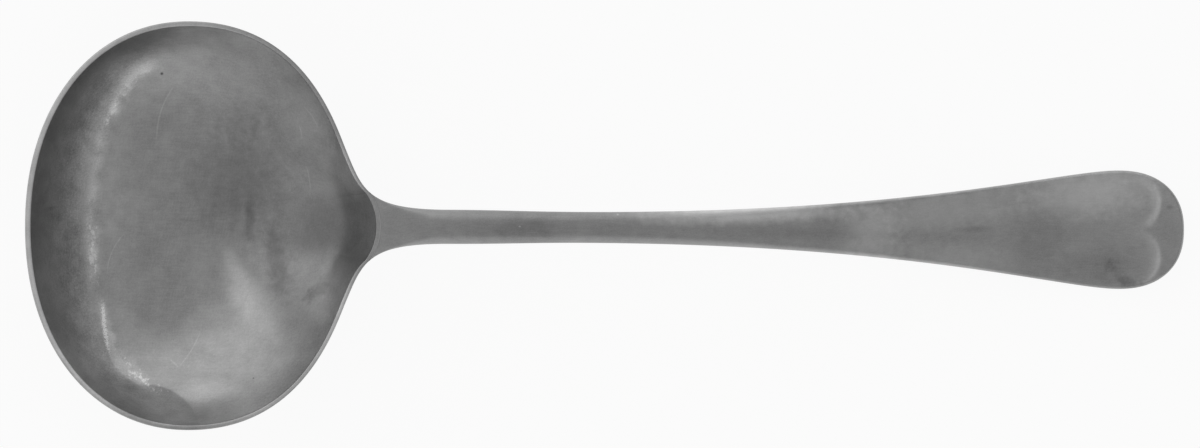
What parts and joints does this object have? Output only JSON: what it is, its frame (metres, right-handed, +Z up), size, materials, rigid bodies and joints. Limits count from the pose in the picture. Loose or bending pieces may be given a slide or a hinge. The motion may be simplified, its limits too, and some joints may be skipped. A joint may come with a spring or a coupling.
{
  "type": "gravy ladle",
  "caption": "Metal gravy ladle with a wide oval bowl, a slim arched handle soldered under the bowl's back and a flared, turned-up end.",
  "frame": {"origin": "centre of the flat under the bowl, on the surface the ladle lies on", "axes": "+X from the bowl to the handle's end, +Y to the ladle's left seen from the bowl, +Z up out of the bowl"},
  "size_m": [0.1699, 0.0598, 0.0188],
  "materials": {
    "bowl_metal": "satin steel, worn and finely scratched inside",
    "handle_metal": "satin steel, worn brighter along its edges",
    "solder": "dull solder line, filed flush"
  },
  "bodies": {
    "root": {"bowl": "bowl_metal", "handle": "handle_metal", "solder_joint": "solder"}
  },
  "joints": []
}
